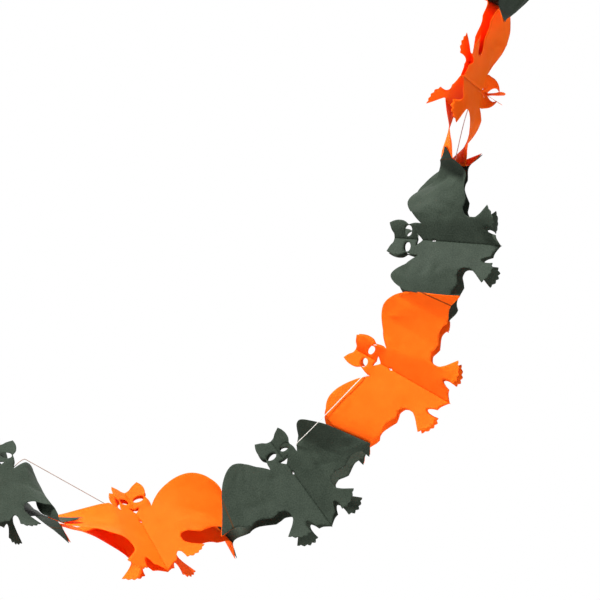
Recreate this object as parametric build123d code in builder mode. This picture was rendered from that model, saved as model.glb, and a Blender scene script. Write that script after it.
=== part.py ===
"""Paper garland of cut-out bats, black and orange in turn, strung on a cotton thread.

Every bat is two equal sheets of thin paper. Each sheet is folded about the bat's centre line, and the two
folds are glued back to back, so a front half and a back half of paper reach out on each side. The halves of
neighbouring bats are glued together along a short line near their wing tips, in front and at the back.
The frame: +X to the right, +Y away from the viewer, +Z up, origin at the top hanging loop, millimetres.
"""
from build123d import *
from math import cos, pi, radians, sin, tan
import os

os.makedirs("parts", exist_ok=True)

# Flat sheet
wing_reach = 102.0
body_height = 110.0
glue_reach = 86.0
glue_width = 3.0
crease_width = 3.0
panel_reach = 30.0
paper = 0.2

# Holes cut through each sheet
eye_length = 12.0
eye_width = 7.5
mouth_width = 17.0
mouth_height = 10.0
chest_hole = 5.0

# Hang of the paper
pixel = 1.0
panel_bow = 22.0
glue_bow = 16.0
peel = 1.5

# Thread
thread_diameter = 0.9
loop_diameter = 16.0
knot_diameter = 3.2

# The middle of the glue line lies this far up the body
glue_height = 62.0

# The photograph's pixel of the top loop's centre, past the photograph's upper edge
loop_pixels = (562.7, -180.1)

# Angle at which a half sheet leaves the fold, towards the viewer or away, and the spread of the free tips
plain_lean = 24.0
tip_spread = 4.5

# Half outline of the flat sheet: (share of wing_reach from the centre line, share of body_height from the tail)
ear_shares = [(0.059, 0.996), (0.098, 1.018), (0.167, 1.041)]
outer_ear_shares = [(0.167, 1.041), (0.201, 0.955), (0.167, 0.859)]
cheek_shares = [(0.167, 0.859), (0.186, 0.8), (0.186, 0.745)]
shoulder_share = 0.843
armpit_shares = [(0.3, 0.318), (0.287, 0.282), (0.294, 0.245)]
leg_shares = [(0.294, 0.245), (0.353, 0.182), (0.456, 0.105)]
toe_shares = [
    (0.422, 0.086), (0.407, 0.055), (0.373, 0.05), (0.358, 0.023), (0.324, 0.032), (0.299, 0.009),
    (0.27, 0.032), (0.24, 0.027),
]
crotch_shares = [(0.24, 0.027), (0.221, 0.132), (0.191, 0.155), (0.142, 0.073)]
tail_shares = [(0.142, 0.073), (0.098, 0.059), (0.049, 0.027)]
tail_tip_share = -0.009
head_notch_share = 0.991

# Wing between the panel and the glue line: (share of the stretch, low and high share of body_height)
wing_shares = [
    (0.0, 0.318, 0.843), (0.14, 0.356, 0.895), (0.29, 0.341, 0.936), (0.36, 0.359, 0.951),
    (0.48, 0.39, 0.963), (0.57, 0.395, 0.959), (0.68, 0.377, 0.942), (0.79, 0.396, 0.9),
    (0.89, 0.42, 0.836), (1.0, 0.427, 0.736),
]
# Tip beyond the glued strip, in the same way: the first row is the strip's outer edge
tip_shares = [(0.0, 0.422, 0.66), (0.38, 0.406, 0.55), (0.77, 0.396, 0.455), (1.0, 0.387, 0.397)]

# Places of the holes
eye_shares = (0.108, 0.864)
eye_tilt = 12.0
mouth_share = 0.741
chest_share = 0.623

# Bats from the top: name, paper, pixel of the fold at glue_height, depth as a share of wing_reach, direction
# of the body in the picture (right, up) from tail to head, and how far the head leans away, in degrees
bats = [
    ("bat_1", "black", (521.0, -62.0), 0.0, (0.91, -0.42), 32.0),
    ("bat_2", "orange", (476.0, 87.0), 0.0, (0.86, -0.51), 73.0),
    ("bat_3", "black", (440.6, 241.5), 0.0, (-0.997, 0.076), 14.0),
    ("bat_4", "orange", (396.1, 372.6), -0.12, (-0.867, 0.498), 8.0),
    ("bat_5", "black", (297.0, 478.1), -0.04, (-0.591, 0.807), 19.0),
    ("bat_6", "orange", (143.4, 527.2), 0.0, (-0.515, 0.857), 37.0),
    ("bat_7", "black", (-3.0, 480.0), 0.0, (-0.05, 1.0), 45.0),
]

# Glue lines, front then back: pixel and depth share of the end nearer the heads, the same of the end nearer
# the tails, and the way the free tips point (right, away, up). The first and last are the free outer wings.
glue_lines = [
    (((566.0, -146.0), 0.216, (546.0, -156.0), 0.039, (0.3, 0.3, 0.9)),
     ((566.0, -136.0), -0.118, (546.0, -146.0), -0.294, (0.3, -0.3, 0.9))),
    (((502.0, 6.0), 0.2, (485.0, -1.0), -0.06, (-0.7, -0.2, 0.3)),
     ((511.0, 17.0), 0.02, (496.0, 9.0), -0.24, (0.3, -0.4, -0.85))),
    (((441.3, 160.0), 0.02, (452.0, 159.5), -0.27, (-0.45, -0.3, 0.87)),
     ((452.8, 164.5), 0.36, (471.6, 164.5), 0.1, (0.6, 0.3, 0.6))),
    (((420.9, 293.0), -0.38, (451.8, 307.1), -0.38, (0.05, -0.5, 0.85)),
     ((421.0, 310.0), 0.22, (451.0, 323.0), 0.22, (0.2, 0.75, -0.6))),
    (((341.0, 432.0), -0.34, (371.0, 445.0), -0.34, (-0.2, 0.75, -0.6)),
     ((338.0, 440.0), 0.24, (366.0, 454.0), 0.24, (0.25, 0.6, -0.7))),
    (((222.5, 498.0), -0.26, (235.5, 529.0), -0.34, (-0.93, -0.33, -0.1)),
     ((218.0, 530.0), 0.3, (232.5, 544.7), 0.1, (-0.1, 0.8, -0.55))),
    (((54.0, 517.0), 0.0, (68.0, 521.0), -0.28, (0.95, -0.2, 0.1)),
     ((48.5, 528.0), 0.402, (61.7, 528.6), 0.147, (0.3, 0.3, -0.9))),
    (((-86.0, 446.0), -0.1, (-82.0, 466.0), -0.34, (-0.95, -0.2, 0.0)),
     ((-84.0, 470.0), 0.34, (-80.0, 490.0), 0.1, (-0.95, 0.2, 0.0))),
]

# Half sheets that leave the fold at another angle: (bat, side, face), where side 1 is up the chain
# and face 1 is the front
other_leans = {
    (1, 1, 1): 8.0, (1, 1, -1): 14.0, (1, -1, 1): 38.0, (1, -1, -1): 10.0,
    (5, 1, 1): 4.0, (5, -1, 1): 34.0, (6, 1, 1): 40.0, (6, 1, -1): 44.0,
}


# Route of the thread from the top bat to the last: pixel, and depth in millimetres. It goes through every
# chest hole, and crosses the front of two wings between the necks of bat_4 and bat_5.
thread_route = [
    ((526.0, -59.7), 3.4), ((477.6, 88.0), 6.2), ((466.0, 113.0), 5.5), ((454.3, 164.5), 5.0),
    ((434.3, 241.0), 1.6), ((390.5, 369.4), -11.1), ((368.5, 376.5), -12.8), ((363.5, 375.2), -20.9),
    ((359.3, 379.2), -24.4), ((346.8, 392.1), -33.2), ((330.0, 409.3), -41.5), ((317.5, 422.1), -38.3),
    ((304.9, 435.0), -20.0), ((295.6, 443.9), -8.0), ((298.0, 447.2), -1.2), ((293.4, 473.1), -1.9),
    ((199.0, 510.0), 8.0), ((140.7, 522.8), 3.9), ((115.5, 510.0), 8.0), ((22.0, 459.0), 23.0), ((-3.2, 475.4), 4.6),
]
# Corners where the thread goes round the edge of a hole or a neck, and the radius there
edge_corners = (6, 7, 8, 14, 15, 16, 18, 20, 21)
edge_radius = 3.2
left_knot = ((-119.0, 437.5), 0.0)


def spot(pixels, depth_share):
    """A place of the picture as a point in space."""
    right = (pixels[0] - loop_pixels[0]) * pixel
    up = (loop_pixels[1] - pixels[1]) * pixel
    return Vector(right, depth_share * wing_reach, up)


def unit(x, y, z):
    return Vector(x, y, z).normalized()


def square_to(vector, axis):
    """The part of a direction that is square to an axis, as a unit vector."""
    return (vector - axis * vector.dot(axis)).normalized()


def bat_frame(index):
    """Place of a bat's fold, and its directions: along the body, up the chain and out of its face."""
    name, colour, pixels, depth_share, heading, lean = bats[index]
    place = spot(pixels, depth_share)
    flat = unit(heading[0], 0, heading[1])
    body = flat * cos(radians(lean)) + Vector(0, sin(radians(lean)), 0)
    before = bats[max(index - 1, 0)]
    after = bats[min(index + 1, len(bats) - 1)]
    chain = spot(before[2], before[3]) - spot(after[2], after[3])
    across = square_to(chain, body)
    return place, body, across, across.cross(body)


def glue_frame(index, side, face):
    """Middle of a glue line, its direction, and the way the free tips point."""
    line = glue_lines[index if side == 1 else index + 1][0 if face == 1 else 1]
    head_end = spot(line[0], line[1])
    tail_end = spot(line[2], line[3])
    along = (head_end - tail_end).normalized()
    return (head_end + tail_end) * 0.5, along, square_to(Vector(*line[4]), along)


def curve_point(poles, t):
    """Point of a cubic curve, and its direction there."""
    a, b, c, d = poles
    s = 1 - t
    point = a * s**3 + b * (3 * s * s * t) + c * (3 * s * t * t) + d * t**3
    way = (b - a) * (s * s) + (c - b) * (2 * s * t) + (d - c) * (t * t)
    return point, way.normalized()


def even_places(poles, shares, steps=60):
    """Curve parameters at which the given shares of a curve's length are reached."""
    marks = [0.0]
    last = poles[0]
    for i in range(1, steps + 1):
        point, way = curve_point(poles, i / steps)
        marks.append(marks[-1] + (point - last).length)
        last = point
    places = []
    for share in shares:
        goal = share * marks[-1]
        i = max(k for k in range(steps) if marks[k] <= goal)
        places.append(min(1.0, (i + (goal - marks[i]) / (marks[i + 1] - marks[i])) / steps))
    return places


def flat(share_pairs):
    """Points of the flat outline, measured from the fold's edge."""
    return [(u * wing_reach - crease_width / 2, v * body_height) for u, v in share_pairs]


def section(point, ruling, way, low, high):
    """Thin cross-section of the wing along one of its rulings."""
    low_edge = low * body_height - glue_height
    high_edge = high * body_height - glue_height
    normal_way = square_to(way, ruling)
    centre = point + ruling * ((low_edge + high_edge) / 2)
    with BuildSketch(Plane(origin=centre, x_dir=ruling, z_dir=normal_way)) as slice_profile:
        Rectangle(high_edge - low_edge, paper)
    return slice_profile.sketch


def body_panel(edge, body, out):
    """Flat half of the body, with its head, leg and holes."""
    panel_plane = Plane(origin=edge - body * glue_height, x_dir=out, z_dir=out.cross(body))
    panel_edge = panel_reach - crease_width / 2
    shoulder = shoulder_share * body_height
    armpit = armpit_shares[0][1] * body_height
    head_notch = (0, head_notch_share * body_height)
    tail_tip = (0, tail_tip_share * body_height)
    with BuildSketch(panel_plane) as panel:
        with BuildLine():
            Polyline(head_notch, flat(ear_shares)[0])
            Spline(*flat(ear_shares))
            Spline(*flat(outer_ear_shares))
            Polyline(*flat(cheek_shares), (panel_edge, shoulder), (panel_edge, armpit))
            Polyline((panel_edge, armpit), *flat(armpit_shares)[1:], *flat(leg_shares)[1:], *flat(toe_shares))
            Spline(*flat(crotch_shares))
            Polyline(*flat(tail_shares), tail_tip, head_notch)
        make_face()
        eye_place = (eye_shares[0] * wing_reach - crease_width / 2, eye_shares[1] * body_height)
        with Locations(Location(eye_place, -eye_tilt)):
            Ellipse(eye_length / 2, eye_width / 2, mode=Mode.SUBTRACT)
        with Locations((-crease_width / 2, mouth_share * body_height)):
            Ellipse(mouth_width / 2, mouth_height / 2, mode=Mode.SUBTRACT)
        with Locations((-crease_width / 2, chest_share * body_height)):
            Circle(chest_hole / 2, mode=Mode.SUBTRACT)
    extrude(panel.sketch, amount=paper / 2, both=True)


def wing(start, body, out, index, side, face, place):
    """Curled wing from the body panel to the glue line, the glued strip and the free tip."""
    middle, along, tip_way = glue_frame(index, side, face)
    normal = tip_way.cross(along)
    if normal.dot(place - middle) < 0:
        normal = normal * -1
    end = middle + normal * (paper / 2)
    poles = (start, start + out * panel_bow, end - tip_way * glue_bow + normal * peel, end)
    profiles = []
    for (share, low, high), t in zip(wing_shares, even_places(poles, [s[0] for s in wing_shares])):
        point, way = curve_point(poles, t)
        turn = 1 - (1 - t) ** 2
        ruling = (body * (1 - turn) + along * turn).normalized()
        profiles.append(section(point, ruling, way, low, high))
    strip_end = end + tip_way * glue_width
    spread_way = tip_way * cos(radians(tip_spread)) + normal * sin(radians(tip_spread))
    tip_length = wing_reach - glue_reach - glue_width
    for share, low, high in tip_shares:
        profiles.append(section(strip_end + spread_way * (share * tip_length), along, tip_way, low, high))
    loft(profiles, ruled=True)


def paper_sheet(index, side):
    """One folded sheet: the glued fold, and a front and a back half that reach to one side."""
    place, body, across, facing = bat_frame(index)
    fold = place + across * (side * paper / 2)
    low = tail_tip_share * body_height
    high = head_notch_share * body_height
    fold_plane = Plane(origin=fold - body * glue_height, x_dir=facing, z_dir=facing.cross(body))
    with BuildPart() as sheet:
        with BuildSketch(fold_plane):
            with Locations((0, (low + high) / 2)):
                Rectangle(crease_width, high - low)
            with Locations((0, mouth_share * body_height)):
                Ellipse(mouth_width / 2, mouth_height / 2, mode=Mode.SUBTRACT)
            with Locations((0, chest_share * body_height)):
                Circle(chest_hole / 2, mode=Mode.SUBTRACT)
        extrude(amount=paper / 2, both=True)
        for face in (1, -1):
            lean = radians(other_leans.get((index, side, face), plain_lean))
            out = across * (side * cos(lean)) + facing * (face * sin(lean))
            edge = fold + facing * (face * crease_width / 2)
            body_panel(edge, body, out)
            start = edge + out * (panel_reach - crease_width / 2)
            wing(start, body, out, index, side, face, place)
    return sheet.part


for index, bat in enumerate(bats):
    for side, side_name in ((1, "upper"), (-1, "lower")):
        sheet_name = bat[1] + "_" + bat[0] + "_" + side_name + "_sheet"
        sheet = paper_sheet(index, side)
        sheet.label = sheet_name
        export_step(sheet, "parts/" + sheet_name + ".step")
        print(sheet_name, "volume", round(sheet.volume), "solids", len(sheet.solids()))


def thread_corner_radii(points):
    """Radius for each inner corner: as large as its two runs allow, small where it goes round an edge."""
    radii = []
    for i in range(1, len(points) - 1):
        before = points[i] - points[i - 1]
        after = points[i + 1] - points[i]
        half_turn = radians(before.get_angle(after)) / 2
        largest = 0.45 * min(before.length, after.length) / tan(half_turn)
        radii.append(min(largest, edge_radius) if i in edge_corners else largest)
    return radii


route = [spot(pixels, depth / wing_reach) for pixels, depth in thread_route]
top_way = (route[0] * -1).normalized()
top_knot = top_way * (-loop_diameter / 2)
left_end = spot(left_knot[0], left_knot[1])
left_way = (left_end - route[-1]).normalized()
points = [top_knot] + route + [left_end]
radii = thread_corner_radii(points)
print("thread corner radii", [round(radius, 1) for radius in radii])

with BuildPart() as thread:
    with BuildLine() as thread_line:
        FilletPolyline(*points, radius=radii)
    with BuildSketch(Plane(origin=thread_line.line @ 0, z_dir=thread_line.line % 0)):
        Circle(thread_diameter / 2)
    sweep(path=thread_line.line)
    for knot, way in ((top_knot, top_way), (left_end, left_way)):
        loop_plane = Plane(origin=knot + way * (loop_diameter / 2), x_dir=way, z_dir=square_to(Vector(0, 1, 0), way))
        with Locations(Location(loop_plane)):
            Torus(loop_diameter / 2, thread_diameter / 2)
        with Locations(Location(knot)):
            Sphere(knot_diameter / 2)
thread.part.label = "thread"
export_step(thread.part, "parts/thread.step")
thread_length = sum(edge.length for edge in thread_line.edges())
tube_volume = thread_length * pi * (thread_diameter / 2) ** 2
print("thread length", round(thread_length, 1), "tube volume", round(tube_volume), "solid", round(thread.part.volume))
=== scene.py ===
"""Looks of a paper garland: seven cut-out bats, black and orange in turn, strung on a cotton thread.

Each bat is two equal sheets, folded about the body line and glued back to back. Every sheet is laid out flat,
cut with its holes, and then carried onto the folded and curled shape that it hangs in. Lengths are in
millimetres in the tables and in metres in the meshes.
"""

import math

import bpy
import numpy as np
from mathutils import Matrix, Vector, noise
from mathutils.geometry import delaunay_2d_cdt


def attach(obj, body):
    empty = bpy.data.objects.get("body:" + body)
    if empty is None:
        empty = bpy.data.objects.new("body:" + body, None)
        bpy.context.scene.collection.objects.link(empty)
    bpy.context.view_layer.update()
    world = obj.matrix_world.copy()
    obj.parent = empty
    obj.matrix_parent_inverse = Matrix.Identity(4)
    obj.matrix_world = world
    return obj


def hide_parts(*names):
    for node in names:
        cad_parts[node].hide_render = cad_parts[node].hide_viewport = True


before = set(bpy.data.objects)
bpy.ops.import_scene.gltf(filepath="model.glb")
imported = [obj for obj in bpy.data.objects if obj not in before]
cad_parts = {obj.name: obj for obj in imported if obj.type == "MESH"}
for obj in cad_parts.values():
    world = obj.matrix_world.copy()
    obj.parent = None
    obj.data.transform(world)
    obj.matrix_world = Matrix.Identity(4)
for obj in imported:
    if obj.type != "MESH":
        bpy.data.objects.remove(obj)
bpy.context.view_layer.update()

MM = 0.001
top_loop_pixel = (562.7, -180.1)  # the origin; a pixel of the picture is a millimetre
photo_middle = (300.0, 300.0)

# Flat sheet: u runs from the fold outwards, v from the tail towards the ears
wing_reach = 102.0
panel_reach = 30.0  # the body panel is flat up to here
glue_reach = 86.0
glue_width = 3.0
crease_half = 1.5  # half the width of the glued strip along the fold
fold_top = 110.0
glue_height = 62.0  # v of the places in the tables below
leg_height = 34.0
neck_height = 82.0
neck_run = 12.0
head_reach = 21.0
shoulder = (19.1, 86.0)  # above the neck, what lies past this u and under this v is wing
paper = 0.2  # thickness

# Hung sheet: lean from the facing plane, handles of the wing's curve, and how free tips stand off
plain_lean = 24.0
panel_bow = 22.0
glue_bow = 16.0
plain_turn = 2.0
peel = 1.5
tip_spread = 0.08
curve_marks = 201

# Triangles of the flat sheet
sheet_low, sheet_high = -1.0, 116.0
strip_columns = (-crease_half, -0.5, 0.5, crease_half)  # grid lines beside the fold
outline_spacing = 1.6
grid_step = 2.4
edge_gap = 0.8
eye_points = 28
chest_points = 20

# Wrinkles and creases pressed in by handling
wrinkles = ((34.0, 26.0, 0.0, 0.9), (13.0, 17.0, 9.7, 0.35))  # size along u and v, seed shift, height
wrinkle_fades = (14.0, 12.0)  # towards the fold and towards the glue line
fold_fades = (8.0, 14.0)
crease_fades = (10.0, 8.0)
crease_seed = 40
crease_count = 26
crease_places = ((24, 84), (44, 96))  # along u, on either half, and along v
crease_reach = (6, 20)
crease_depth = (-0.8, 0.8)
crease_width = (1.4, 2.6)
crease_share = {"black": 2.2, "orange": 0.9}
uv_unit = 100.0  # millimetres of paper to one unit of its flat map

# Half outline, from the notch of the head to the tip of the tail: one list for each run between sharp corners
half_outline = [
    [(0, 109), (6, 109.5), (10, 112), (17, 114.5)],
    [(17, 114.5), (19.3, 110), (20.5, 105), (20, 99), (17, 94.5)],
    [(17, 94.5), (19, 88), (19, 82)],
    [(19, 82), (22, 85.5), (26, 89.5), (31, 93.5), (38, 98.5), (46, 103), (54, 105.6), (60, 106), (66, 104.5),
     (72, 101), (78, 95), (82, 89), (86, 81), (90, 70), (96, 56), (101, 46), (102, 43)],
    [(102, 43), (95, 44.5), (87, 47)],
    [(87, 47), (82, 47), (77, 45), (72, 42.5), (68, 41.5)],
    [(68, 41.5), (64, 43.5), (59, 43.5), (54, 41.5), (50, 39.5), (46, 37.5)],
    [(46, 37.5), (41, 38.5), (37, 39.5), (34, 38.5), (31, 36.5), (29.5, 33)],
    [(29.5, 33), (30, 27), (32.5, 23.5), (36, 20), (41, 16), (46.5, 11.5)],
    [(46.5, 11.5), (45, 10), (43, 9.5)],
    [(43, 9.5), (41.5, 6), (38, 5.5)],
    [(38, 5.5), (36.5, 2.5), (33, 3.5)],
    [(33, 3.5), (30.5, 1), (27.5, 3.5)],
    [(27.5, 3.5), (24.5, 3), (24, 8), (22.5, 14.5), (19.5, 17), (16.5, 13), (14.5, 8)],
    [(14.5, 8), (10, 6.5), (5, 3), (0, -1)],
]
# Holes: an ellipse's centre, half axes and turn; half of the mouth's ring
eye = (10.2, 94.5, 5.9, 3.5, -9.0)
mouth = [(0, 79.3), (3.6, 81.6), (8.8, 86.4), (4.5, 85.8), (0, 84.6)]
chest = (0.0, 68.5, 2.5, 2.5, 0.0)

# Bats from the top: name, paper, pixel of the fold at glue_height, depth, direction in the picture, lean
bats = [
    ("bat_1", "black", (521.0, -62.0), 0.0, (0.91, -0.42), 58.0),
    ("bat_2", "orange", (476.0, 87.0), 0.0, (0.86, -0.51), 73.0),
    ("bat_3", "black", (440.6, 241.5), 0.0, (-0.997, 0.076), 14.0),
    ("bat_4", "orange", (396.1, 372.6), -12.2, (-0.867, 0.498), 8.0),
    ("bat_5", "black", (297.0, 478.1), -4.1, (-0.591, 0.807), 19.0),
    ("bat_6", "orange", (143.4, 527.2), 0.0, (-0.515, 0.857), 37.0),
    ("bat_7", "black", (-3.0, 480.0), 0.0, (-0.05, 1.0), 45.0),
]

# Glue lines, front then back: pixel and depth of the head end, the same of the tail end, way of the free tips
glue_lines = [
    (((566.0, -146.0), 22.0, (546.0, -156.0), 4.0, (0.3, 0.3, 0.9)),
     ((566.0, -136.0), -12.0, (546.0, -146.0), -30.0, (0.3, -0.3, 0.9))),
    (((502.0, 6.0), 20.4, (485.0, -1.0), -6.1, (-0.7, -0.2, 0.3)),
     ((510.0, 16.0), 4.0, (498.0, 10.0), -27.0, (0.3, -0.4, -0.85))),
    (((441.3, 160.0), 2.0, (452.0, 159.5), -27.5, (-0.45, -0.3, 0.87)),
     ((452.8, 164.5), 36.7, (471.6, 164.5), 10.2, (0.6, 0.3, 0.6))),
    (((420.9, 293.0), -38.8, (451.8, 307.1), -38.8, (0.05, -0.5, 0.85)),
     ((421.0, 310.0), 22.4, (451.0, 323.0), 22.4, (0.2, 0.75, -0.6))),
    (((341.0, 432.0), -34.7, (371.0, 445.0), -34.7, (-0.2, 0.75, -0.6)),
     ((338.0, 440.0), 24.5, (366.0, 454.0), 24.5, (0.25, 0.6, -0.7))),
    (((222.5, 498.0), -26.5, (235.5, 529.0), -34.7, (-0.93, -0.33, -0.1)),
     ((218.0, 530.0), 30.6, (232.5, 544.7), 10.2, (-0.1, 0.8, -0.55))),
    (((54.0, 517.0), 0.0, (68.0, 521.0), -28.6, (0.95, -0.2, 0.1)),
     ((48.5, 528.0), 41.0, (61.7, 528.6), 15.0, (0.3, 0.3, -0.9))),
    (((-86.0, 446.0), -10.2, (-82.0, 466.0), -34.7, (-0.95, -0.2, 0.0)),
     ((-84.0, 470.0), 34.7, (-80.0, 490.0), 10.2, (-0.95, 0.2, 0.0))),
]

# Half sheets that leave the fold at another angle: (bat, side, face), side 1 up the chain, face 1 the front
other_leans = {
    (1, 1, 1): 8.0, (1, 1, -1): 2.0, (1, -1, 1): 38.0, (1, -1, -1): 10.0,
    (5, 1, 1): 4.0, (5, -1, 1): 34.0, (5, 1, -1): 40.0, (5, -1, -1): 2.0, (6, 1, 1): -6.0, (6, 1, -1): 44.0,
}

# Half sheets whose curl is gentler or tighter: lengths of the two handles of the wing's curve
other_bows = {
    (1, -1, 1): (8.0, 6.0), (1, 1, -1): (18.0, 6.0), (1, 1, 1): (22.0, 10.0), (6, 1, 1): (40.0, 20.0),
}

# Half sheets whose rulings turn sooner, above plain_turn, or later from the body's way to the glue line's
other_turns = {
    (1, -1, 1): 1.0, (1, -1, -1): 1.0, (2, 1, 1): 1.0, (5, -1, 1): 3.5, (5, -1, -1): 4.0, (6, 1, 1): 2.6,
}

# Curl of the legs out of the sheet's plane, in degrees at the toes; a plain back leg lies nearly flat
leg_root = 12.0  # u where the curl begins; it is full at twice that
curl_height = 30.0
front_leg_bend = 24.0
back_leg_bend = 7.0
leg_bends = {
    (1, 1, 1): 27.0, (1, -1, -1): -54.0, (2, 1, 1): 40.0, (2, 1, -1): 108.0, (2, -1, 1): 27.0,
    (3, 1, 1): 44.0, (3, 1, -1): 40.0, (3, -1, 1): 14.0, (3, -1, -1): 40.0, (4, -1, -1): 40.0,
    (5, 1, -1): 10.0, (5, -1, 1): -10.0, (5, -1, -1): -20.0,
}

# Soft folds pressed in two wings: a line through two flat places and the slope it adds beyond that line
wing_root = ((19.0, 82.0), (29.5, 34.0))
soft_folds = {
    (2, 1, 1): [(wing_root, -0.24), (((36.0, 34.0), (84.0, 60.0)), 0.38)],
    (3, 1, 1): [(wing_root, -0.30), (((46.0, 0.0), (46.0, 110.0)), 0.42), (((64.0, 0.0), (64.0, 110.0)), -0.1)],
}

# Heads whose halves lie at another angle than the body panel
head_leans = {
    (1, 1, -1): 72.0, (1, -1, -1): 72.0, (2, 1, -1): 50.0, (2, -1, -1): 8.0,
    (3, 1, 1): 40.0, (3, 1, -1): 10.0, (3, -1, 1): 36.0, (3, -1, -1): 50.0, (4, 1, -1): 44.0, (4, -1, -1): 12.0,
    (5, 1, 1): 16.0, (5, -1, 1): 40.0, (5, 1, -1): -10.0, (5, -1, -1): -16.0, (6, 1, 1): 14.0,
}

# Cotton thread from the top knot to the left one: pixel and depth. Beside each hole and each edge that it
# passes, a point on the run keeps the long stretches straight.
thread_route = [
    ((560.4, -172.5), 0.2), ((525.8, -65.6), 5.3), ((524.1, -60.5), 5.5), ((522.5, -55.3), 5.5),
    ((479.2, 82.8), 6.2), ((477.6, 88.0), 6.2), ((475.3, 92.9), 6.1), ((466.0, 113.0), 5.5),
    ((455.5, 159.2), 5.1), ((454.3, 164.5), 5.0), ((452.9, 169.7), 4.8),
    ((435.7, 235.8), 1.8), ((434.3, 241.0), 1.6), ((432.6, 246.1), 1.1),
    ((392.2, 364.3), -10.6), ((390.5, 369.4), -11.1), ((385.4, 371.1), -11.5), ((373.6, 374.8), -12.4),
    ((368.5, 376.5), -12.8), ((363.5, 375.2), -20.9), ((359.3, 379.2), -24.4), ((346.8, 392.1), -33.2),
    ((330.0, 409.3), -41.5), ((317.5, 421.7), -39.6), ((304.9, 435.0), -20.0), ((295.4, 443.9), -8.4),
    ((298.0, 447.2), -1.2), ((297.1, 452.5), -1.3), ((294.3, 467.8), -1.8), ((293.4, 473.1), -1.9),
    ((288.4, 475.1), -1.4), ((204.0, 508.0), 7.5), ((199.0, 510.0), 8.0), ((193.7, 511.2), 7.6),
    ((146.0, 521.6), 4.3), ((140.7, 522.8), 3.9), ((135.9, 520.4), 4.7), ((115.5, 510.0), 8.0),
    ((110.9, 507.5), 9.1), ((26.6, 461.3), 26.6), ((22.0, 458.9), 27.5), ((9.3, 471.0), 20.3),
    ((1.0, 473.8), 9.8), ((-3.2, 475.4), 4.6), ((-8.4, 473.7), 4.4), ((-119.0, 437.5), 0.0),
]
turn_length = 3.6
ply_radius = 0.29
ply_offset = 0.17
point_spacing = 0.45
loop_radius = 8.0
shaded_end_from = -430.0  # beyond this, across the picture from the origin, the thread is painted brown as shade


def spot(pixel, depth):
    """A place of the picture, with its depth, in millimetres."""
    return np.array([pixel[0] - top_loop_pixel[0], depth, top_loop_pixel[1] - pixel[1]])


def unit(vector):
    vector = np.asarray(vector, float)
    return vector / np.linalg.norm(vector)


def square_to(vector, axis):
    """The part of a vector that is square to an axis, as a direction."""
    vector = np.asarray(vector, float)
    return unit(vector - axis * (vector @ axis))


def bat_frame(index):
    """Place of a bat's fold, and the directions along the body, up the chain and out of its face."""
    pixel, depth, heading, lean = bats[index][2:]
    flat = unit((heading[0], 0, heading[1]))
    lean = math.radians(lean)
    body = flat * math.cos(lean) + np.array([0, math.sin(lean), 0])
    before = bats[max(index - 1, 0)]
    after = bats[min(index + 1, len(bats) - 1)]
    across = square_to(spot(before[2], before[3]) - spot(after[2], after[3]), body)
    return spot(pixel, depth), body, across, np.cross(across, body)


class HalfSheet:
    """Carries flat places of one half sheet into space."""

    def __init__(self, index, side, face):
        self.place, self.body, across, facing = bat_frame(index)
        self.key = (index, side, face)
        self.lean = other_leans.get(self.key, plain_lean)
        lean = math.radians(self.lean)
        self.across = side * across
        self.facing = face * facing
        self.out = self.across * math.cos(lean) + self.facing * math.sin(lean)
        self.edge = self.place + self.across * paper / 2 + self.facing * crease_half
        line = glue_lines[index if side == 1 else index + 1][0 if face == 1 else 1]
        head, head_depth, tail, tail_depth, tip_way = line
        head_end, tail_end = spot(head, head_depth), spot(tail, tail_depth)
        middle = (head_end + tail_end) / 2
        self.along = unit(head_end - tail_end)
        self.tip_way = square_to(tip_way, self.along)
        normal = np.cross(self.tip_way, self.along)
        self.normal = normal if normal @ (self.place - middle) > 0 else -normal
        self.end = middle + self.normal * paper / 2
        start = self.edge + self.out * (panel_reach - crease_half)
        first, last = other_bows.get(self.key, (panel_bow, glue_bow))
        self.poles = (start, start + self.out * first,
                      self.end - self.tip_way * last + self.normal * peel, self.end)
        self.marks = np.linspace(0, 1, curve_marks)
        points = self.curve(self.marks)
        steps = np.linalg.norm(np.diff(points, axis=0), axis=1)
        self.lengths = np.concatenate(([0], np.cumsum(steps))) / steps.sum()

    def curve(self, t):
        """Places on the wing's curve at glue_height, t from the panel to the glue line."""
        t = np.asarray(t)[:, None]
        s = 1 - t
        a, b, c, d = self.poles
        return a * s**3 + b * 3 * s * s * t + c * 3 * s * t * t + d * t**3

    def carry(self, u, v):
        """Places in space for arrays of flat places, u from the fold outwards and v up from the tail."""
        u, v = np.asarray(u, float), np.asarray(v, float)
        height = (v - glue_height)[:, None]
        strip = self.place + self.across * paper / 2 + self.facing * u[:, None] + self.body * height
        panel = self.edge + self.out * (u - crease_half)[:, None] + self.body * height
        share = np.clip((u - panel_reach) / (glue_reach - panel_reach), 0, 1)
        t = np.interp(share, self.lengths, self.marks)
        turn = (1 - (1 - t) ** other_turns.get(self.key, plain_turn))[:, None]
        ruling = self.body * (1 - turn) + self.along * turn
        ruling /= np.linalg.norm(ruling, axis=1)[:, None]
        wing = self.curve(t) + ruling * height
        past = (u - glue_reach)[:, None]
        stand_off = self.normal * np.maximum(past - glue_width, 0) * tip_spread
        tip = self.end + self.tip_way * past + self.along * height + stand_off
        result = np.where((u <= crease_half)[:, None], strip, panel)
        head_lean = head_leans.get(self.key)
        if head_lean is not None:
            tilted = np.clip((v - neck_height) / neck_run, 0, 1)[:, None]
            lean = math.radians(self.lean) + tilted * math.radians(head_lean - self.lean)
            out = self.across * np.cos(lean) + self.facing * np.sin(lean)
            nodding = self.edge + out * (u - crease_half)[:, None] + self.body * height
            head = (u > crease_half) & (u < head_reach) & (v > neck_height)
            head &= (u < shoulder[0]) | (v > shoulder[1])
            result = np.where(head[:, None], nodding, result)
        curled = (u > panel_reach) & (v >= leg_height)
        result = np.where(curled[:, None], wing, result)
        return np.where((curled & (u > glue_reach))[:, None], tip, result)


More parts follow.
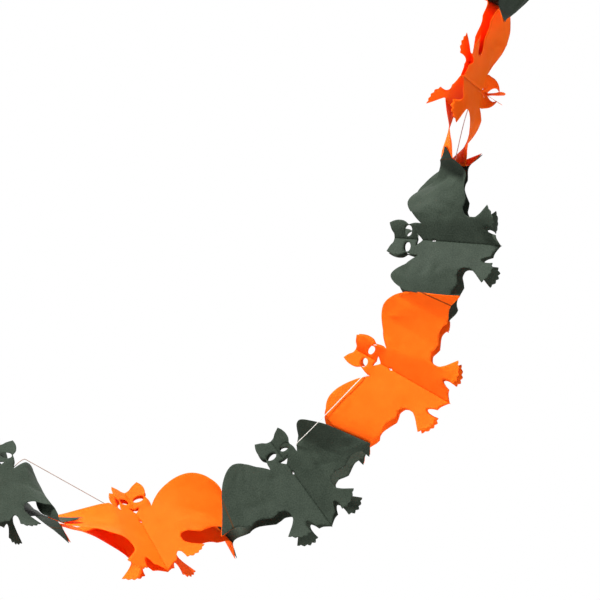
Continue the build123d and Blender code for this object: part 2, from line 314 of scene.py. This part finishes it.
def smooth_run(points, spacing):
    """Points at even steps on the soft curve through a run of the outline."""
    points = [np.array(p, float) for p in points]
    ends = [2 * points[0] - points[1]] + points + [2 * points[-1] - points[-2]]
    dense = []
    for i in range(1, len(ends) - 2):
        a, b, c, d = ends[i - 1:i + 3]
        count = max(2, round(np.linalg.norm(c - b) / spacing))
        for t in np.arange(count) / count:
            dense.append(0.5 * (2 * b + (c - a) * t + (2 * a - 5 * b + 4 * c - d) * t * t
                                + (3 * b - a - 3 * c + d) * t**3))
    return dense


def ellipse_ring(cu, cv, a, b, turn, count):
    """Places round an ellipse, turned by some degrees."""
    turn = math.radians(turn)
    ring = []
    for k in range(count):
        x, y = a * math.cos(2 * math.pi * k / count), b * math.sin(2 * math.pi * k / count)
        ring.append((cu + x * math.cos(turn) - y * math.sin(turn), cv + x * math.sin(turn) + y * math.cos(turn)))
    return ring


def inside(points, ring):
    """Which points lie inside a closed ring."""
    x, y = points[:, 0], points[:, 1]
    result = np.zeros(len(points), bool)
    for (x1, y1), (x2, y2) in zip(ring, np.roll(ring, -1, axis=0)):
        crosses = (y1 > y) != (y2 > y)
        at = x1 + (y - y1) * (x2 - x1) / (y2 - y1 + 1e-12)
        result ^= crosses & (x < at)
    return result


def inside_paper(points, outline, holes):
    """Which points lie on the sheet, outside its holes."""
    result = inside(points, outline)
    for hole in holes:
        result &= ~inside(points, hole)
    return result


def cut_sheet():
    """The flat sheet with its holes, as flat places and triangles."""
    right = []
    for run in half_outline:
        right += smooth_run(run, outline_spacing)
    right.append(np.array(half_outline[-1][-1], float))
    right = np.array(right)
    left = right[1:-1][::-1] * [-1, 1]
    outline = np.concatenate((right, left))
    right_eye = np.array(ellipse_ring(*eye, eye_points))
    mouth_ring = np.array(mouth + [(-u, v) for u, v in mouth[-2:0:-1]], float)
    holes = [right_eye, right_eye * [-1, 1], mouth_ring, np.array(ellipse_ring(*chest, chest_points))]
    grid = []
    for row, v in enumerate(np.arange(sheet_low, sheet_high, grid_step)):
        for u in np.arange(-wing_reach + (row % 2) * grid_step / 2, wing_reach, grid_step):
            grid.append((u, v))
    for v in np.arange(0, fold_top, outline_spacing):
        for u in strip_columns:
            grid.append((u, v))
    grid = np.array(grid)
    on_strip = np.isin(grid[:, 0], strip_columns)
    grid = grid[on_strip | (np.abs(grid[:, 0]) > grid_step)]
    grid = grid[inside_paper(grid, outline, holes)]
    rings = [outline] + holes
    border = np.concatenate(rings)
    gap = np.min(np.linalg.norm(grid[:, None] - border[None], axis=2), axis=1)
    grid = grid[gap > edge_gap]
    places = np.concatenate((border, grid))
    edges = []
    start = 0
    for ring in rings:
        count = len(ring)
        edges += [(start + k, start + (k + 1) % count) for k in range(count)]
        start += count
    result = delaunay_2d_cdt([Vector(p) for p in places], edges, [], 0, 1e-6)
    flat = np.array([tuple(p) for p in result[0]])
    faces = np.array([tuple(f) for f in result[2]])
    centres = flat[faces].mean(axis=1)
    return flat, faces[inside_paper(centres, outline, holes)]


def wrinkle(u, v, seed):
    """Height of the paper's soft wrinkles at one flat place, still at the fold and at the glue line."""
    from_fold = abs(u) - 2 * crease_half
    from_glue = abs(abs(u) - glue_reach - glue_width / 2) - 2
    quiet = min(1.0, max(0.0, from_fold / wrinkle_fades[0])) * min(1.0, max(0.0, from_glue) / wrinkle_fades[1])
    return quiet * sum(height * noise.noise(Vector((u / wide, v / high, seed + shift)))
                       for wide, high, shift, height in wrinkles)


def fold_height(u, v, folds):
    """Height that soft folds add, tapered to nothing at the fold and at the glue line."""
    height = np.zeros(len(u))
    for ((u1, v1), (u2, v2)), slope in folds:
        du, dv = u2 - u1, v2 - v1
        past = ((u - u1) * dv - (v - v1) * du) / math.hypot(du, dv)
        past *= np.sign(dv) if dv else 1
        height += slope * (past + np.sqrt(past * past + 4.0)) / 2 - slope
    return height * np.clip((glue_reach - u) / fold_fades[1], 0, 1) * np.clip((u - 2) / fold_fades[0], 0, 1)


def leg_curl(u, v, bend):
    """How far a leg that curls on an arc moves out of its plane, and back up along the body."""
    weight = np.clip((u - leg_root) / leg_root, 0, 1)
    length = np.clip(curl_height - v, 0, None)
    curvature = math.radians(bend) / leg_height * weight * weight * (3 - 2 * weight)
    angle = curvature * length
    out = length * np.where(np.abs(angle) > 1e-4, (1 - np.cos(angle)) / np.where(angle == 0, 1, angle), angle / 2)
    along = length * np.sinc(angle / math.pi)
    return out, length - along


def crease_lines(seed):
    """Handling creases of one sheet: a flat place on each, its direction, reach, depth and width."""
    chance = np.random.default_rng(seed)
    lines = []
    for _ in range(crease_count):
        u = chance.uniform(*crease_places[0]) * chance.choice((-1, 1))
        v = chance.uniform(*crease_places[1])
        angle = chance.uniform(0, math.pi)
        reach, depth, width = [chance.uniform(*limits) for limits in (crease_reach, crease_depth, crease_width)]
        lines.append((u, v, math.cos(angle), math.sin(angle), reach, depth, width))
    return lines


def crease_height(u, v, lines):
    """Height that the creases add, tapered to nothing at the fold and at the glue line."""
    height = np.zeros(len(u))
    for cu, cv, du, dv, reach, depth, width in lines:
        along = (u - cu) * du + (v - cv) * dv
        off = (u - cu) * dv - (v - cv) * du
        height += depth * np.exp(-np.sqrt((off / width) ** 2 + 0.04)) * np.exp(-(along / reach) ** 2)
    at_fold = np.clip((np.abs(u) - 8) / crease_fades[0], 0, 1)
    return height * at_fold * np.clip((glue_reach - 3 - np.abs(u)) / crease_fades[1], 0, 1)


flat, triangles = cut_sheet()


def place_sheet(index, side):
    """Vertices of one hung sheet, in metres."""
    place = np.zeros((len(flat), 3))
    seed = index * 3.1 + side * 1.3 + 20
    u = np.abs(flat[:, 0])
    v = flat[:, 1]
    heights = np.array([wrinkle(a, b, seed) for a, b in flat])
    creases = crease_lines(crease_seed + index * 2 + (side == 1))
    heights += crease_height(flat[:, 0], flat[:, 1], creases) * crease_share[bats[index][1]]
    for face, chosen in ((1, flat[:, 0] >= 0), (-1, flat[:, 0] < 0)):
        half = HalfSheet(index, side, face)
        plain_bend = front_leg_bend if face == 1 else back_leg_bend
        here = half.carry(u[chosen], v[chosen])
        du = half.carry(u[chosen] + 0.05, v[chosen]) - half.carry(np.maximum(u[chosen] - 0.05, 0), v[chosen])
        dv = half.carry(u[chosen], v[chosen] + 0.05) - half.carry(u[chosen], v[chosen] - 0.05)
        normal = np.cross(du, dv)
        normal /= np.linalg.norm(normal, axis=1)[:, None]
        normal *= np.sign(normal @ half.facing)[:, None]
        heights[chosen] += fold_height(u[chosen], v[chosen], soft_folds.get(half.key, ()))
        out, back = leg_curl(u[chosen], v[chosen], leg_bends.get(half.key, plain_bend))
        place[chosen] = here + normal * (heights[chosen] + out)[:, None] + half.body * back[:, None]
    return place * MM


def paper_sheet(index, side):
    """One folded sheet as a mesh with two flat maps: the grain's differs from sheet to sheet."""
    name = bats[index][1] + "_" + bats[index][0] + ("_upper" if side == 1 else "_lower")
    mesh = bpy.data.meshes.new(name + "_paper")
    faces = triangles if side == 1 else triangles[:, ::-1]
    mesh.from_pydata([tuple(place) for place in place_sheet(index, side)], [],
                     [tuple(int(corner) for corner in face) for face in faces])
    corners = np.zeros(len(mesh.loops), int)
    mesh.loops.foreach_get("vertex_index", corners)
    shift = np.array([(index * 2 + (side == 1)) * 2.3, index * 1.7])
    for layer_name, offset in (("grain", shift), ("sheet", 0)):
        layer = mesh.uv_layers.new(name=layer_name)
        layer.data.foreach_set("uv", (flat[corners] / uv_unit + offset).ravel())
    mesh.polygons.foreach_set("use_smooth", [True] * len(mesh.polygons))
    sheet = bpy.data.objects.new(name + "_paper", mesh)
    bpy.context.collection.objects.link(sheet)
    wall = sheet.modifiers.new("thickness", "SOLIDIFY")
    wall.thickness = paper * MM
    wall.offset = 0
    return sheet, name


def group_socket(tree, name, kind, way="INPUT", value=None):
    """Adds an input or output to a node group."""
    socket = tree.interface.new_socket(name=name, in_out=way, socket_type=kind)
    if value is not None:
        socket.default_value = value


def math_node(tree, operation, first, second=None, third=None):
    """A Math node whose inputs are numbers or other nodes' outputs."""
    node = tree.nodes.new("ShaderNodeMath")
    node.operation = operation
    for socket, value in zip(node.inputs, (first, second, third)):
        if isinstance(value, (int, float)):
            socket.default_value = value
        elif value is not None:
            tree.links.new(value, socket)
    return node.outputs[0]


def between(tree, value, low, high):
    """A value held between two limits."""
    return math_node(tree, "MINIMUM", math_node(tree, "MAXIMUM", value, low), high)


def off_middle(tree, value, amount):
    """How far a noise lies off its middle, times an amount."""
    return math_node(tree, "MULTIPLY", math_node(tree, "SUBTRACT", value, 0.5), amount)


def noise_node(tree, vector, scale, detail, roughness=0.5):
    """A Noise Texture node's value."""
    node = tree.nodes.new("ShaderNodeTexNoise")
    node.inputs["Scale"].default_value = scale
    node.inputs["Detail"].default_value = detail
    node.inputs["Roughness"].default_value = roughness
    tree.links.new(vector, node.inputs["Vector"])
    return node.outputs["Fac"]


def colour_mix(tree, factor, first, second):
    """A Mix node between two colours, each given as a colour or as another node's output."""
    node = tree.nodes.new("ShaderNodeMix")
    node.data_type = "RGBA"
    tree.links.new(factor, node.inputs["Factor"])
    for socket, value in zip((node.inputs["A"], node.inputs["B"]), (first, second)):
        if isinstance(value, tuple):
            socket.default_value = value
        else:
            tree.links.new(value, socket)
    return node.outputs["Result"]


def tissue_group():
    """Thin dyed paper: clouded pulp, speckle, a fine tooth, and the line pressed in along the glue, coloured as
    glue stain and as painted shade of the step where the sheets meet.
    """
    tree = bpy.data.node_groups.new("dyed_paper", "ShaderNodeTree")
    group_socket(tree, "Grain", "NodeSocketVector")
    group_socket(tree, "Sheet", "NodeSocketVector")
    group_socket(tree, "Light Dye", "NodeSocketColor", value=(0.8, 0.8, 0.8, 1))
    group_socket(tree, "Deep Dye", "NodeSocketColor", value=(0.5, 0.5, 0.5, 1))
    group_socket(tree, "Glue Stain And Shade", "NodeSocketColor", value=(0.1, 0.05, 0.02, 1))
    group_socket(tree, "Speckle", "NodeSocketFloat", value=0.4)
    group_socket(tree, "Matt", "NodeSocketFloat", value=0.7)
    group_socket(tree, "Colour", "NodeSocketColor", "OUTPUT")
    group_socket(tree, "Roughness", "NodeSocketFloat", "OUTPUT")
    group_socket(tree, "Height", "NodeSocketFloat", "OUTPUT")
    given = tree.nodes.new("NodeGroupInput").outputs
    cloud = noise_node(tree, given["Grain"], 7.0, 4.0, 0.55)
    speckle = noise_node(tree, given["Grain"], 70.0, 5.0, 0.7)
    tooth = noise_node(tree, given["Grain"], 210.0, 2.0)
    speckled = off_middle(tree, speckle, given["Speckle"])
    depth = math_node(tree, "ADD", cloud, math_node(tree, "MULTIPLY", speckled, 3.0))
    dye = colour_mix(tree, between(tree, depth, 0.0, 1.0), given["Deep Dye"], given["Light Dye"])
    place = tree.nodes.new("ShaderNodeSeparateXYZ")
    tree.links.new(given["Sheet"], place.inputs[0])
    wobble = noise_node(tree, given["Grain"], 14.0, 2.0)
    # The glue line's dark colour is partly glue stain and partly painted shade of the step between the glued
    # sheets
    line_reach, line_half, line_sway = glue_reach + 0.6, 0.9, 0.6
    reach = math_node(tree, "ADD", math_node(tree, "ABSOLUTE", place.outputs["X"]),
                      off_middle(tree, wobble, line_sway / uv_unit))
    off = math_node(tree, "ABSOLUTE", math_node(tree, "SUBTRACT", reach, line_reach / uv_unit))
    across = math_node(tree, "SUBTRACT", 1.0, math_node(tree, "DIVIDE", off, line_half / uv_unit))
    line = between(tree, math_node(tree, "MULTIPLY", across, 1.6), 0.0, 1.0)
    result = tree.nodes.new("NodeGroupOutput").inputs
    tree.links.new(colour_mix(tree, line, dye, given["Glue Stain And Shade"]), result["Colour"])
    tree.links.new(math_node(tree, "ADD", given["Matt"], off_middle(tree, speckle, 0.25)), result["Roughness"])
    relief = math_node(tree, "MULTIPLY_ADD", tooth, 0.4, math_node(tree, "MULTIPLY", speckle, 0.7))
    tree.links.new(math_node(tree, "MULTIPLY_ADD", line, -0.8, relief), result["Height"])
    return tree


dyed_paper = tissue_group()


def paper_material(name, light, deep, line, speckle, matt, glow):
    """Matt thin paper; the glow is light that spreads inside it."""
    material = bpy.data.materials.new(name)
    material.use_nodes = True
    tree = material.node_tree
    shader = tree.nodes["Principled BSDF"]
    shader.inputs["Specular IOR Level"].default_value = 0.05
    shader.inputs["Subsurface Weight"].default_value = glow
    shader.inputs["Subsurface Radius"].default_value = (1.0, 0.5, 0.2)
    shader.inputs["Subsurface Scale"].default_value = 0.0006
    paper_dye = tree.nodes.new("ShaderNodeGroup")
    paper_dye.node_tree = dyed_paper
    for socket, layer in (("Grain", "grain"), ("Sheet", "sheet")):
        uv = tree.nodes.new("ShaderNodeUVMap")
        uv.uv_map = layer
        tree.links.new(uv.outputs["UV"], paper_dye.inputs[socket])
    paper_dye.inputs["Light Dye"].default_value = (*light, 1)
    paper_dye.inputs["Deep Dye"].default_value = (*deep, 1)
    paper_dye.inputs["Glue Stain And Shade"].default_value = (*line, 1)
    paper_dye.inputs["Speckle"].default_value = speckle
    paper_dye.inputs["Matt"].default_value = matt
    bump = tree.nodes.new("ShaderNodeBump")
    bump.inputs["Strength"].default_value = 0.25
    bump.inputs["Distance"].default_value = 0.0006
    tree.links.new(paper_dye.outputs["Colour"], shader.inputs["Base Color"])
    tree.links.new(paper_dye.outputs["Roughness"], shader.inputs["Roughness"])
    tree.links.new(paper_dye.outputs["Height"], bump.inputs["Height"])
    tree.links.new(bump.outputs["Normal"], shader.inputs["Normal"])
    return material


# The line colours are glue stain mixed with painted shade of the step where the glued sheets meet
papers = {
    "orange": paper_material("orange_paper", light=(1.0, 0.14, 0.007), deep=(0.97, 0.105, 0.003),
                             line=(0.16, 0.035, 0.006), speckle=0.5, matt=0.7, glow=0.35),
    "black": paper_material("black_paper", light=(0.042, 0.055, 0.041), deep=(0.021, 0.029, 0.021),
                            line=(0.075, 0.035, 0.014), speckle=1.2, matt=0.62, glow=0.0),
}

for index in range(len(bats)):
    for side in (1, -1):
        sheet, name = paper_sheet(index, side)
        sheet.data.materials.append(papers[bats[index][1]])
        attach(sheet, "root")
        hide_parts(name + "_sheet")


def cotton_material():
    """Bleached cotton: soft fibres, soiled here and there, and painted brown at the left end as shade."""
    material = bpy.data.materials.new("cotton_thread")
    material.use_nodes = True
    tree = material.node_tree
    shader = tree.nodes["Principled BSDF"]
    shader.inputs["Roughness"].default_value = 0.9
    shader.inputs["Specular IOR Level"].default_value = 0.2
    place = tree.nodes.new("ShaderNodeTexCoord")
    handled = noise_node(tree, place.outputs["Object"], 9.0, 3.0)
    fibre = noise_node(tree, place.outputs["Object"], 2600.0, 3.0)
    soil_and_shade = math_node(tree, "MAXIMUM", off_middle(tree, handled, 2.0), 0.0)
    split = tree.nodes.new("ShaderNodeSeparateXYZ")
    tree.links.new(place.outputs["Object"], split.inputs[0])
    # Painted shade: the left end of the thread is darkened towards brown, added to the random soiling
    shaded_end = math_node(tree, "MULTIPLY", math_node(tree, "SUBTRACT", shaded_end_from * MM, split.outputs["X"]), 40.0)
    shaded_end = between(tree, shaded_end, 0.0, 0.9)
    soil_and_shade = math_node(tree, "MULTIPLY_ADD", fibre, 0.2, math_node(tree, "ADD", soil_and_shade, shaded_end))
    soil_and_shade = math_node(tree, "MINIMUM", soil_and_shade, 1.0)
    bump = tree.nodes.new("ShaderNodeBump")
    bump.inputs["Strength"].default_value = 0.5
    bump.inputs["Distance"].default_value = 0.00015
    cotton_colour = colour_mix(tree, soil_and_shade, (0.84, 0.81, 0.76, 1), (0.30, 0.20, 0.15, 1))
    tree.links.new(cotton_colour, shader.inputs["Base Color"])
    tree.links.new(fibre, bump.inputs["Height"])
    tree.links.new(bump.outputs["Normal"], shader.inputs["Normal"])
    return material


def twist_tree():
    """Geometry nodes that lay two plies of cotton round a line."""
    tree = bpy.data.node_groups.new("two_ply_twist", "GeometryNodeTree")
    group_socket(tree, "Line", "NodeSocketGeometry")
    group_socket(tree, "Turn Length", "NodeSocketFloat", value=0.003)
    group_socket(tree, "Ply Radius", "NodeSocketFloat", value=0.0002)
    group_socket(tree, "Ply Offset", "NodeSocketFloat", value=0.0002)
    group_socket(tree, "Point Spacing", "NodeSocketFloat", value=0.0005)
    group_socket(tree, "Cotton", "NodeSocketMaterial")
    group_socket(tree, "Thread", "NodeSocketGeometry", "OUTPUT")
    nodes, links = tree.nodes, tree.links
    given = nodes.new("NodeGroupInput").outputs
    line = nodes.new("GeometryNodeMeshToCurve")
    steps = nodes.new("GeometryNodeResampleCurve")
    steps.mode = "LENGTH"
    links.new(given["Line"], line.inputs["Mesh"])
    links.new(line.outputs["Curve"], steps.inputs["Curve"])
    links.new(given["Point Spacing"], steps.inputs["Length"])
    length = nodes.new("GeometryNodeSplineParameter").outputs["Length"]
    normal = nodes.new("GeometryNodeInputNormal").outputs["Normal"]
    tangent = nodes.new("GeometryNodeInputTangent").outputs["Tangent"]
    side = nodes.new("ShaderNodeVectorMath")
    side.operation = "CROSS_PRODUCT"
    links.new(tangent, side.inputs[0])
    links.new(normal, side.inputs[1])
    profile = nodes.new("GeometryNodeCurvePrimitiveCircle")
    profile.inputs["Resolution"].default_value = 6
    links.new(given["Ply Radius"], profile.inputs["Radius"])
    plies = nodes.new("GeometryNodeJoinGeometry")
    turns = math_node(tree, "DIVIDE", length, given["Turn Length"])
    for start in (0.0, math.pi):
        angle = math_node(tree, "MULTIPLY_ADD", turns, 2 * math.pi, start)
        parts = []
        for way, operation in ((normal, "COSINE"), (side.outputs[0], "SINE")):
            part = nodes.new("ShaderNodeVectorMath")
            part.operation = "SCALE"
            links.new(way, part.inputs[0])
            amount = math_node(tree, "MULTIPLY", math_node(tree, operation, angle), given["Ply Offset"])
            links.new(amount, part.inputs["Scale"])
            parts.append(part.outputs[0])
        total = nodes.new("ShaderNodeVectorMath")
        links.new(parts[0], total.inputs[0])
        links.new(parts[1], total.inputs[1])
        ply = nodes.new("GeometryNodeSetPosition")
        links.new(steps.outputs["Curve"], ply.inputs["Geometry"])
        links.new(total.outputs[0], ply.inputs["Offset"])
        tube = nodes.new("GeometryNodeCurveToMesh")
        tube.inputs["Fill Caps"].default_value = True
        links.new(ply.outputs["Geometry"], tube.inputs["Curve"])
        links.new(profile.outputs["Curve"], tube.inputs["Profile Curve"])
        links.new(tube.outputs["Mesh"], plies.inputs["Geometry"])
    real = nodes.new("GeometryNodeRealizeInstances")
    dressed = nodes.new("GeometryNodeSetMaterial")
    links.new(plies.outputs["Geometry"], real.inputs["Geometry"])
    links.new(real.outputs["Geometry"], dressed.inputs["Geometry"])
    links.new(given["Cotton"], dressed.inputs["Material"])
    links.new(dressed.outputs["Geometry"], nodes.new("NodeGroupOutput").inputs["Thread"])
    return tree


def smooth_line(name, places, closed=False):
    """Points along the smooth spline that has the given places, in metres, as its control points."""
    curve = bpy.data.curves.new(name, "CURVE")
    curve.dimensions = "3D"
    curve.resolution_u = 16
    spline = curve.splines.new("NURBS")
    spline.points.add(len(places) - 1)
    for point, place in zip(spline.points, places):
        point.co = (*place, 1)
    spline.order_u = 3
    if closed:
        spline.use_cyclic_u = True
    else:
        spline.use_endpoint_u = True
    holder = bpy.data.objects.new(name, curve)
    bpy.context.collection.objects.link(holder)
    graph = bpy.context.evaluated_depsgraph_get()
    line = bpy.data.meshes.new_from_object(holder.evaluated_get(graph))
    bpy.data.objects.remove(holder)
    return line


cotton = cotton_material()
twist = twist_tree()


def twisted(name, line):
    """The line laid up as two-ply thread, as a plain mesh."""
    holder = bpy.data.objects.new(name, line)
    bpy.context.collection.objects.link(holder)
    layup = holder.modifiers.new("layup", "NODES")
    layup.node_group = twist
    given = {"Turn Length": turn_length * MM, "Ply Radius": ply_radius * MM, "Ply Offset": ply_offset * MM,
             "Point Spacing": point_spacing * MM, "Cotton": cotton}
    for item in twist.interface.items_tree:
        if item.name in given and item.in_out == "INPUT":
            layup[item.identifier] = given[item.name]
    graph = bpy.context.evaluated_depsgraph_get()
    mesh = bpy.data.meshes.new_from_object(holder.evaluated_get(graph))
    bpy.data.objects.remove(holder)
    mesh.polygons.foreach_set("use_smooth", [True] * len(mesh.polygons))
    piece = bpy.data.objects.new(name, mesh)
    bpy.context.collection.objects.link(piece)
    return piece


def ring_places(centre, way, radius, count=12):
    """Control places of a closed ring that hangs in the picture's plane; the smooth line runs inside them."""
    side = np.cross(square_to((0, -1, 0), way), way)
    reach = radius / (0.75 + 0.25 * math.cos(2 * math.pi / count))
    return [(centre + reach * (way * math.cos(a) + side * math.sin(a))) * MM
            for a in 2 * math.pi * np.arange(count) / count]


def knot_places(centre, way):
    """Control places of a small overhand knot, a closed trefoil."""
    up = square_to((0, -1, 0), way)
    side = np.cross(up, way)
    places = []
    count, size, depth = 24, 0.42, 0.5
    for a in 2 * math.pi * np.arange(count) / count:
        x = (math.sin(a) + 2 * math.sin(2 * a)) * size
        y = (math.cos(a) - 2 * math.cos(2 * a)) * size
        z = -math.sin(3 * a) * depth
        places.append((centre + side * x + up * z + way * y) * MM)
    return places


route = np.array([spot(pixel, depth) for pixel, depth in thread_route])
thread_line = smooth_line("thread_line", route * MM)
thread = twisted("thread_two_ply", thread_line)
ends = []
for name, end, inner in (("top", route[0], route[1]), ("left", route[-1], route[-2])):
    way = unit(end - inner)
    loop = smooth_line(name + "_loop", ring_places(end + way * loop_radius, way, loop_radius), True)
    knot = smooth_line(name + "_knot", knot_places(end, way), True)
    ends += [twisted(name + "_loop_thread", loop), twisted(name + "_knot_thread", knot)]
for piece in [thread] + ends:
    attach(piece, "root")
    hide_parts("thread")


# Studio
def aim(thing, target):
    """Turns a camera or a light to look at a place."""
    thing.rotation_euler = (Vector(target) - thing.location).to_track_quat("-Z", "Y").to_euler()


camera_distance = 6.0
floor_level = -1.0
centre = Vector(spot(photo_middle, 0) * MM)
camera = bpy.data.objects.new("camera", bpy.data.cameras.new("camera"))
bpy.context.collection.objects.link(camera)
camera.location = centre + Vector((0, -camera_distance, 0))
camera.data.lens = 60 * camera_distance  # a frame of 0.6 m at the middle of the picture
camera.data.sensor_width = 36
camera.data.clip_end = 50
aim(camera, centre)
bpy.context.scene.camera = camera

floor = bpy.data.objects.new("floor", bpy.data.meshes.new("floor"))
floor_corners = [(x, y, floor_level) for x, y in ((-2.6, -2.2), (2.2, -2.2), (2.2, 2.2), (-2.6, 2.2))]
floor.data.from_pydata(floor_corners, [], [(0, 1, 2, 3)])
bpy.context.collection.objects.link(floor)
pale = bpy.data.materials.new("pale_floor")
pale.use_nodes = True
pale_shader = pale.node_tree.nodes["Principled BSDF"]
pale_shader.inputs["Base Color"].default_value = (0.8, 0.8, 0.79, 1)
pale_shader.inputs["Roughness"].default_value = 0.9
floor.data.materials.append(pale)


def area_light(name, location, size, power):
    """A square lamp turned to the middle of the picture."""
    light = bpy.data.objects.new(name, bpy.data.lights.new(name, "AREA"))
    light.data.shape = "SQUARE"
    light.data.size = size
    light.data.energy = power
    light.location = location
    bpy.context.collection.objects.link(light)
    aim(light, centre)


area_light("key_light", (-1.2, -1.0, 1.7), size=0.5, power=155)
area_light("fill_light", (1.6, -1.9, 0.1), size=1.4, power=16)
area_light("back_light", (0.2, 1.6, 0.9), size=1.2, power=25)

# White where the camera, a reflection or clear glass sees the room; dim grey as a source of light
world = bpy.data.worlds.new("studio")
bpy.context.scene.world = world
world.use_nodes = True
tree = world.node_tree
ray = tree.nodes.new("ShaderNodeLightPath").outputs
direct = math_node(tree, "MAXIMUM", ray["Is Camera Ray"], ray["Is Glossy Ray"])
direct = math_node(tree, "MAXIMUM", direct, ray["Is Transmission Ray"])
seen = colour_mix(tree, direct, (0.05, 0.05, 0.052, 1), (1.0, 1.0, 1.0, 1.0))
tree.links.new(seen, tree.nodes["Background"].inputs["Color"])
bpy.context.scene.view_settings.view_transform = "Standard"
